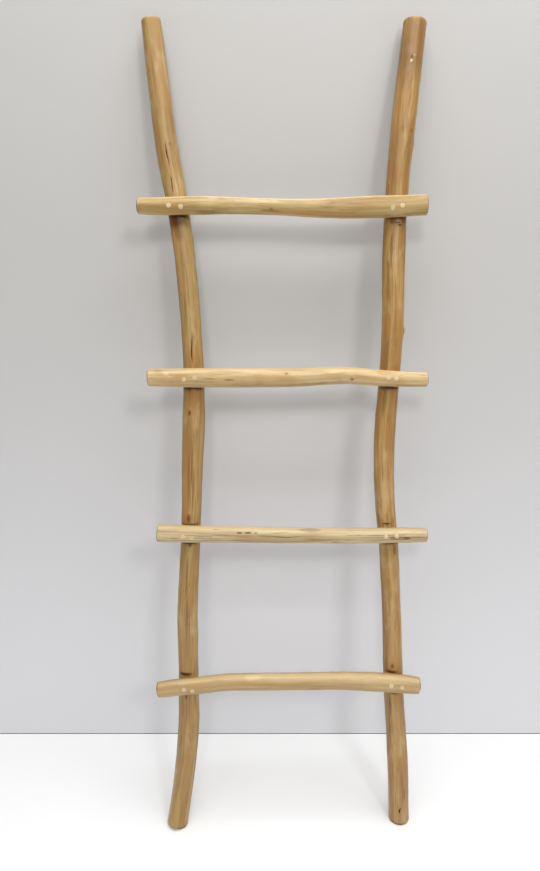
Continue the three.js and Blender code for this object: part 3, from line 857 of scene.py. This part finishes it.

# Marks lie at a length from the foot or the left end and at an angle from the front, in millimetres and
# degrees: to the right on a rail, upwards on a rung. A streak is half its width and half its length.
# The painted_rung_shadow rows paint the shadow that a rung casts on the rail under it.
MARKS = {
    "left_rail": [
        # Painted shade: broad darkening all round the upper left rail.
        *streak(1300, 0, 40, 80, BARK_BROWN, 0.2),
        *streak(1060, 0, 40, 90, BARK_BROWN, 0.13),
        *streak(1270, 2, 1.6, 36, BARK_BROWN, 0.85),
        *streak(1250, 6, 4.0, 60, AMBER, 0.5),
        *streak(1225, -3, 1.4, 24, DARK_BROWN, 0.6),
        *knot(1293, 24, 3, 0.35),
        # Painted shadow of rung 1 on the left rail: a dark brown patch under the rung that fades out downwards.
        *streak(1166, -22, 24, 20, RUNG_SHADOW_BROWN, 0.85),
        *streak(1166, -8, 11, 13, DARK_BROWN, 0.75),
        *streak(1150, -10, 12, 30, RUNG_SHADOW_BROWN, 0.5),
        *painted_rung_shadow(1173, 8, 1.0),
        *streak(1052, 6, 2, 46, BARK_BROWN, 0.45),
        *streak(940, 2, 1.8, 30, BARK_BROWN, 0.9),
        *streak(960, 8, 3.0, 18, BARK_BROWN, 0.5),
        *streak(925, 4, 7, 40, AMBER, 0.5),
        *painted_rung_shadow(873, 6, 0.9),
        *knot(828, -14, 3.6, 0.9, 1.7),
        *streak(850, 6, 10, 40, AMBER, 0.45),
        *streak(735, -18, 15, 110, RED_BROWN, 0.3),
        *streak(732, 2, 2.2, 56, BARK_BROWN, 0.6),
        *streak(700, -14, 3.4, 74, BARK_BROWN, 0.5),
        *streak(690, 12, 2.0, 60, BARK_BROWN, 0.5),
        *streak(655, -26, 6.0, 90, AMBER, 0.55),
        *knot(632, -9, 4.4, 0.8, 2.2),
        *streak(620, 0, 22, 3.5, DARK_BROWN, 0.7),
        *painted_rung_shadow(586, 4, 0.8),
        # Painted shadow: a dark spot just under rung 3.
        *streak(582, 6, 4, 7, DARK_BROWN, 0.7),
        *streak(520, -6, 2.6, 50, BARK_BROWN, 0.6),
        *streak(450, 4, 2.0, 60, BARK_BROWN, 0.45),
        *streak(420, 16, 1.8, 40, BARK_BROWN, 0.45),
        *streak(327, -12, 17, 5, DARK_BROWN, 0.95),
        *painted_rung_shadow(290, 4, 0.75),
        # Painted shadow: a dark spot just under rung 4.
        *streak(282, -9, 2.6, 12, DARK_BROWN, 0.9),
        *streak(250, -8, 2.0, 40, BARK_BROWN, 0.4),
        *streak(150, 10, 3, 50, AMBER, 0.5),
        # Painted contact shade: a dark band along the foot's lower edge.
        *streak(0, 0, 60, 5.5, DARK_BROWN, 0.9),
    ],
    "right_rail": [
        # Painted shade: broad darkening all round the upper right rail.
        *streak(1445, 0, 40, 75, BARK_BROWN, 0.46),
        *streak(1280, 0, 40, 80, BARK_BROWN, 0.2),
        *streak(1433, -7, 2.4, 4.4, DARK_BROWN, 0.95),
        *streak(1427, -5, 3.0, 3.4, PALE, 0.9),
        *streak(1436, 6, 2.0, 3.0, PALE, 0.4),
        *knot(1315, 34, 3.4, 0.45),
        *streak(1330, 20, 3, 40, AMBER, 0.5),
        *streak(1292, 72, 3, 10, DARK_BROWN, 0.8),
        *streak(1230, -30, 6, 60, BARK_BROWN, 0.35),
        *painted_rung_shadow(1172, 7, 0.95),
        # Painted shadow of rung 1 on the right rail: brown shade and two dark spots under the rung.
        *streak(1164, -20, 8, 8, RUNG_SHADOW_BROWN, 0.8),
        *streak(1161, 4, 5, 2.0, DARK_BROWN, 0.95),
        *streak(1157, 14, 5, 2.0, DARK_BROWN, 0.95),
        *streak(1166, 40, 6, 10, BARK_BROWN, 0.6),
        *streak(1116, -22, 3.4, 40, BARK_BROWN, 0.6),
        *streak(1060, -38, 3.0, 60, BARK_BROWN, 0.4),
        *knot(975, 74, 5, 0.9),
        *streak(930, -34, 5, 50, BARK_BROWN, 0.35),
        *painted_rung_shadow(873, 4, 0.85),
        *streak(850, -26, 5, 40, BARK_BROWN, 0.45),
        *streak(760, 20, 6, 80, AMBER, 0.3),
        *streak(660, 24, 4, 60, AMBER, 0.6),
        *streak(622, -8, 11, 2.4, DARK_BROWN, 0.95),
        *painted_rung_shadow(586, 4, 0.75),
        *streak(572, 30, 5, 14, BARK_BROWN, 0.5),
        *streak(480, -20, 3, 60, BARK_BROWN, 0.35),
        *knot(344, -12, 3.6, 1.0),
        *streak(332, -20, 15, 4, DARK_BROWN, 0.9),
        *streak(326, 0, 18, 3, DARK_BROWN, 0.7),
        *painted_rung_shadow(290, 3.5, 0.8),
        *streak(262, -34, 4, 30, BARK_BROWN, 0.7),
        *streak(216, -44, 3, 46, BARK_BROWN, 0.5),
        *streak(120, 30, 6, 50, AMBER, 0.6),
        *streak(70, 24, 3, 16, RED_BROWN, 0.7),
        # Painted contact shade: a dark band along the foot's lower edge.
        *streak(0, 0, 60, 5.5, DARK_BROWN, 0.95),
    ],
    "rung_1": [
        # Painted highlight along the top of the rung.
        *streak(250, 82, 12, 460, PALE, 0.95),
        *streak(0, 0, 60, 1.8, BARK_BROWN, 0.8),
        *streak(500, 0, 60, 1.8, BARK_BROWN, 0.5),
        *streak(120, -62, 6, 30, BARK_BROWN, 0.45),
        *streak(232, -40, 3.0, 26, BARK_BROWN, 0.65),
        *knot(231, -28, 2.6, 0.5, 2.0),
        *streak(336, 20, 3.0, 8, BARK_BROWN, 0.45),
        *streak(330, 12, 2.0, 10, BARK_BROWN, 0.35),
        *streak(300, -44, 7, 120, AMBER, 0.55),
        *streak(60, -48, 6, 50, AMBER, 0.5),
        *streak(200, 30, 5, 60, PALE, 0.5),
    ],
    "rung_2": [
        # Painted highlight along the top of the rung.
        *streak(250, 76, 9, 420, PALE, 0.26),
        # Painted shade along the underside of the rung.
        *streak(250, -56, 9, 420, BARK_BROWN, 0.25),
        *streak(0, 0, 60, 1.8, BARK_BROWN, 0.9),
        *streak(499, 0, 60, 1.8, BARK_BROWN, 0.4),
        *streak(34, 29, 5, 7, PALE, 0.5),
        *streak(146, -11, 2.0, 12, BARK_BROWN, 0.6),
        *streak(110, -6, 1.4, 20, BARK_BROWN, 0.35),
        *knot(247, 26, 2.4, 0.5),
        *knot(363, -23, 2.4, 0.7),
        *streak(330, 12, 1.8, 30, AMBER, 0.5),
        *streak(20, 48, 5, 12, AMBER, 0.5),
        *streak(420, 40, 6, 18, AMBER, 0.4),
    ],
    "rung_3": [
        # Painted highlight along the top of the rung.
        *streak(250, 66, 9, 420, PALE, 0.4),
        *streak(0, 0, 60, 1.8, BARK_BROWN, 0.6),
        *streak(496, 0, 60, 1.8, BARK_BROWN, 0.4),
        *streak(151, 27, 2.4, 8, DARK_BROWN, 0.9),
        *streak(167, 27, 2.4, 9, DARK_BROWN, 0.95),
        *streak(181, 27, 1.8, 5, DARK_BROWN, 0.8),
        *streak(160, 6, 4.0, 24, RED_BROWN, 0.25),
        *streak(210, 6, 1.4, 40, BARK_BROWN, 0.35),
        *streak(300, -16, 1.3, 44, BARK_BROWN, 0.3),
        *streak(280, 60, 7, 26, GREY_PURPLE, 0.7),
        *streak(433, -8, 5, 9, RED_BROWN, 0.7),
        *streak(457, -12, 3.4, 9, BARK_BROWN, 0.9),
        *streak(446, -20, 3, 16, RED_BROWN, 0.5),
    ],
    "rung_4": [
        # Painted highlight along the top of the rung.
        *streak(250, 64, 9, 420, PALE, 0.45),
        *streak(0, 0, 60, 1.8, BARK_BROWN, 0.85),
        *streak(497.5, 0, 60, 1.8, BARK_BROWN, 0.5),
        # Painted highlight: a pale glint on the top of the rung.
        *streak(183, 57, 6, 22, PALE, 0.7),
        *streak(295, -37, 4, 16, BARK_BROWN, 0.4),
        *streak(140, -30, 2, 60, AMBER, 0.5),
        *streak(330, -50, 7, 130, AMBER, 0.4),
    ],
}

# Swellings: length, angle, how wide, how long, how high.
BUMPS = {
    "left_rail": [(828, -14, 8, 12, 0.8), (632, -9, 9, 12, 0.8), (1296, 24, 8, 12, 0.6), (400, 80, 9, 20, 1.2)],
    "right_rail": [(975, 76, 7, 9, 2.4), (1433, -7, 7, 9, 0.8), (344, -12, 8, 12, 0.8), (1292, 72, 8, 16, 1.0)],
    "rung_1": [(120, -82, 8, 24, 1.0), (336, 15, 9, 14, 0.7), (231, -28, 7, 12, 0.5)],
    "rung_2": [(247, 26, 7, 14, 0.5), (363, -23, 7, 12, 0.6)],
    "rung_3": [(166, 27, 8, 20, 0.4)],
    "rung_4": [(386, 20, 8, 14, 0.5)],
}

# Drying cracks: length, angle, how long, how wide, how deep.
CRACKS = {
    "left_rail": [(1276, 3, 40, 0.8, 4), (1226, -3, 34, 0.6, 3), (938, 1, 44, 0.8, 4)],
    "right_rail": [(34, -4, 16, 1.4, 4)],
    "rung_1": [],
    "rung_2": [],
    "rung_3": [(240, 4, 60, 0.5, 2)],
    "rung_4": [],
}


# ---- Building the branches ----
def skin_of(branch, tree, wood, extra=0.0):
    rail = branch.node in RAIL_NAMES
    return run_nodes(
        branch.node + "_skin", branch.backbone(), tree,
        Ring_Spacing=RAIL_RING if rail else RUNG_RING,
        Sides=RAIL_SIDES if rail else RUNG_SIDES,
        Edge_Radius=RAIL_EDGE if rail else RUNG_EDGE,
        Extra_Radius=extra,
        Seed=LOOKS[branch.node]["Seed"],
        Wood=wood,
    )


def floor_cutter(material):
    span, deep = 2.0, 0.3
    corners = [(x, y, z) for z in (-deep, 0) for y in (-span, span) for x in (-span, span)]
    faces = [(0, 2, 3, 1), (4, 5, 7, 6), (0, 1, 5, 4), (1, 3, 7, 5), (3, 2, 6, 7), (2, 0, 4, 6)]
    mesh = bpy.data.meshes.new("floor")
    mesh.from_pydata(corners, [], faces)
    return joined("floor_cutter", [mesh], material)


def finish_branch(made, branch, end):
    """Gives a cut branch its grain, its sawn ends and its smooth shading with crisp edges at the cuts."""
    mesh = made.data
    points = vertices_of(mesh)
    grain = branch.straighten(points)
    mesh.attributes.new("grain", "FLOAT_VECTOR", "POINT").data.foreach_set("vector", grain.ravel())
    mesh.materials.append(end)
    last = len(mesh.materials) - 1
    normals = np.empty(len(mesh.polygons) * 3)
    mesh.polygons.foreach_get("normal", normals)
    centres = np.empty(len(mesh.polygons) * 3)
    mesh.polygons.foreach_get("center", centres)
    level = branch.straighten(centres.reshape(-1, 3))[:, 2]
    faces_out = np.abs(normals.reshape(-1, 3) @ branch.axes[2]) > 0.86
    at_end = (level < 3 * MM) | (level > branch.high - branch.low - 3 * MM)
    slots = np.empty(len(mesh.polygons), dtype=np.int32)
    mesh.polygons.foreach_get("material_index", slots)
    slots[faces_out & at_end] = last
    mesh.polygons.foreach_set("material_index", slots)
    mesh.shade_smooth()
    mesh.set_sharp_from_angle(angle=math.radians(38))
    mesh.update()


FIGURE = figure_tree()
MARK = mark_tree()
peeled = peeled_branch_tree()
branches = {name: measure_rail(name) for name in RAIL_NAMES} | {name: measure_rung(name) for name in RUNG_NAMES}
woods = {name: branch_wood(branches[name], LOOKS[name], MARKS[name]) for name in LOOKS}
# The darker seat and crack wood is painted shade inside these hollows.
seat_shade_wood = plain_wood("seat_shade_wood", colour(128, 90, 50), 1.0)
crack_shade_wood = plain_wood("crack_shade_wood", colour(84, 52, 24), 2.0)
rail_end = end_grain("rail_end_grain", colour(222, 190, 142), colour(180, 136, 88), 3.0)
rung_end = end_grain("rung_end_grain", colour(214, 190, 142), colour(172, 136, 88), 5.0)
FASTENINGS = [f"{rung[5:]}_{side}_{which}" for rung in RUNG_NAMES for side in SIDES for which in "ab"]


def build_branch(name):
    branch = branches[name]
    rail = name in RAIL_NAMES
    made = new_object(name + "_skin", skin_of(branch, peeled, woods[name]))
    raise_bumps(made.data, branch, BUMPS[name])
    end = rail_end if rail else rung_end
    cutters = [joined("bores", [bore_cutter("screw_" + f, "plug_" + f) for f in FASTENINGS], seat_shade_wood)]
    if rail:
        seats = [skin_of(branches[rung], peeled, seat_shade_wood, extra=SEAT_GAP) for rung in RUNG_NAMES]
        cutters.append(joined("seats", seats, seat_shade_wood))
        cutters.append(floor_cutter(end))
    if CRACKS[name]:
        cracks = [crack_cutter(branch, *to_metres(numbers)) for numbers in CRACKS[name]]
        cutters.append(joined("cracks", cracks, crack_shade_wood))
    for cutter in cutters:
        carve(made, cutter)
        discard(cutter)
    finish_branch(made, branch, end)
    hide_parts(name)
    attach(made, BODY)
    return made


skins = {name: build_branch(name) for name in LOOKS}


def dress(mesh, material):
    """One material on every face."""
    mesh.materials.clear()
    mesh.materials.append(material)
    mesh.polygons.foreach_set("material_index", np.zeros(len(mesh.polygons), dtype=np.int32))


def build_plugs():
    """All the plugs as one piece: rods in the bores, trimmed to the faces of the rungs."""
    wood = plug_wood()
    floors = [along_axis("plug_" + f)[0] for f in FASTENINGS]
    rods = run_nodes(
        "plugs", points_mesh("plug_points", floors, long=[BORE_REACH] * len(floors)),
        turned_rows_tree("plug_rods", threaded=False),
        Nominal_Length=BORE_REACH, Shank_Radius=PLUG_RADIUS, Sides=40, Ring_Spacing=BORE_REACH / 2,
        Direction=tuple(OUTWARD), Finish=wood,
    )
    plugs = new_object("plugs", rods)
    dress(rods, wood)
    faces = [skin_of(branches[rung], peeled, wood, extra=PLUG_PROUD) for rung in RUNG_NAMES]
    limits = joined("rung_faces", faces, wood)
    carve(plugs, limits, "INTERSECT")
    discard(limits)
    dress(plugs.data, wood)
    plugs.data.shade_smooth()
    plugs.data.set_sharp_from_angle(angle=math.radians(30))
    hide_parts(*["plug_" + f for f in FASTENINGS])
    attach(plugs, BODY)


def build_screws():
    """All the screws as one piece, each with its head under its plug and its thread in the rail."""
    steel = screw_steel()
    rows = [along_axis("screw_" + f) for f in FASTENINGS]
    points = points_mesh("screw_points", [tip for tip, _ in rows], long=[long for _, long in rows])
    mesh = run_nodes(
        "screws", points, turned_rows_tree("screw_rods", threaded=True),
        Nominal_Length=float(np.mean([long for _, long in rows])), Shank_Radius=SCREW_RADIUS,
        Head_Radius=HEAD_RADIUS, Head_Height=HEAD_HEIGHT, Direction=tuple(OUTWARD), Finish=steel,
    )
    screws = new_object("screws", mesh)
    dress(mesh, steel)
    mesh.shade_smooth()
    mesh.set_sharp_from_angle(angle=math.radians(40))
    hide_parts(*["screw_" + f for f in FASTENINGS])
    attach(screws, BODY)


build_plugs()
build_screws()


# ---- Stage, lights and camera ----
def stage_plane(name, corners, material):
    mesh = bpy.data.meshes.new(name)
    mesh.from_pydata(corners, [], [(0, 1, 2, 3)])
    mesh.materials.append(material)
    made = new_object(name, mesh)
    return made


def stage_paint(name, tint, painted_bounce_tint=None, glow=0.0, one_sided=False):
    """Matt paint that may be paler near the floor as painted bounce light, may glow a little, and may vanish when seen
    from behind.
    """
    material, nodes, shader = new_material(name)
    place = nodes.add("ShaderNodeTexCoord").outputs["Object"]
    height = nodes.add("ShaderNodeSeparateXYZ", {"Vector": place}).outputs["Z"]
    paint = nodes.blend(nodes.remap(height, 0.0, 1.2), painted_bounce_tint or tint, tint)
    nodes.feed(shader.inputs["Base Color"], paint)
    nodes.feed(shader.inputs["Emission Color"], (1, 1, 1, 1))
    nodes.feed(shader.inputs["Emission Strength"], glow)
    nodes.feed(shader.inputs["Roughness"], 0.9)
    nodes.feed(shader.inputs["Specular IOR Level"], 0.1)
    if one_sided:
        clear = nodes.add("ShaderNodeBsdfTransparent").outputs[0]
        behind = nodes.add("ShaderNodeNewGeometry").outputs["Backfacing"]
        mixed = nodes.add("ShaderNodeMixShader")
        nodes.feed(mixed.inputs[0], behind)
        nodes.feed(mixed.inputs[1], shader.outputs[0])
        nodes.feed(mixed.inputs[2], clear)
        out = next(node for node in material.node_tree.nodes if node.type == "OUTPUT_MATERIAL")
        nodes.feed(out.inputs["Surface"], mixed.outputs[0])
    return material


def area_light(name, place, target, width, height, power, tint=(1, 1, 1)):
    data = bpy.data.lights.new(name, "AREA")
    data.shape = "RECTANGLE"
    data.size, data.size_y = width, height
    data.energy = power
    data.color = tint
    lamp = bpy.data.objects.new(name, data)
    bpy.context.scene.collection.objects.link(lamp)
    lamp.location = place
    lamp.rotation_euler = (Vector(target) - Vector(place)).to_track_quat("-Z", "Y").to_euler()


wall_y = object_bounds()[1].y + 2 * MM
floor_z = -0.2 * MM
stage_plane("floor", [(-6, -6, floor_z), (6, -6, floor_z), (6, 6, floor_z), (-6, 6, floor_z)],
            stage_paint("floor_paint", (0.87, 0.87, 0.875, 1), glow=0.08))
# The wall's paler paint near the floor is painted bounce light from the floor.
wall = stage_plane("wall", [(-6, wall_y, floor_z), (6, wall_y, floor_z), (6, wall_y, 5), (-6, wall_y, 5)],
                   stage_paint("wall_paint", colour(194, 192, 189), colour(228, 228, 231), one_sided=True))
wall.visible_shadow = False
wall.visible_diffuse = False
seam_y = wall_y - 1 * MM
stage_plane("seam", [(-6, seam_y, 0), (6, seam_y, 0), (6, seam_y, 2.4 * MM), (-6, seam_y, 2.4 * MM)],
            stage_paint("seam_paint", colour(120, 122, 114), one_sided=True))

area_light("overhead", (0.3, -0.62, 2.9), (0.27, -0.45, 0), 2.2, 1.3, 45)
area_light("left_lamp", (-0.22, -2.9, 2.42), (0, 0, 1.0), 0.35, 0.35, 17.5)
area_light("right_lamp", (1.15, -2.9, 2.7), (0, 0, 0.8), 0.55, 0.55, 24)


def soft_sky(strength, dim, seen):
    """A white room that lights the scene from overhead, dim below the horizon, and looks evenly pale."""
    world = bpy.data.worlds.new("studio")
    world.use_nodes = True
    nodes = Nodes(world.node_tree)
    facing = nodes.add("ShaderNodeTexCoord").outputs["Generated"]
    height = nodes.add("ShaderNodeSeparateXYZ", {"Vector": facing}).outputs["Z"]
    background = world.node_tree.nodes["Background"]
    background.inputs["Color"].default_value = (1, 1, 1, 1)
    light = nodes.remap(height, 0.25, 0.95, dim, strength)
    looked_at = nodes.add("ShaderNodeLightPath").outputs["Is Camera Ray"]
    nodes.feed(background.inputs["Strength"], nodes.remap(looked_at, 0.0, 1.0, light, seen, smooth=False))
    return world


scene = bpy.context.scene
scene.world = soft_sky(0.78, 0.02, 0.72)
scene.view_settings.view_transform = "Standard"

camera = bpy.data.cameras.new("camera")
camera.lens = 27.0
camera.sensor_width = 36
eye = bpy.data.objects.new("camera", camera)
scene.collection.objects.link(eye)
eye.location = (-0.030, -1.155, 1.114)
eye.rotation_euler = (math.radians(90 - 16.26), 0, 0)
scene.camera = eye
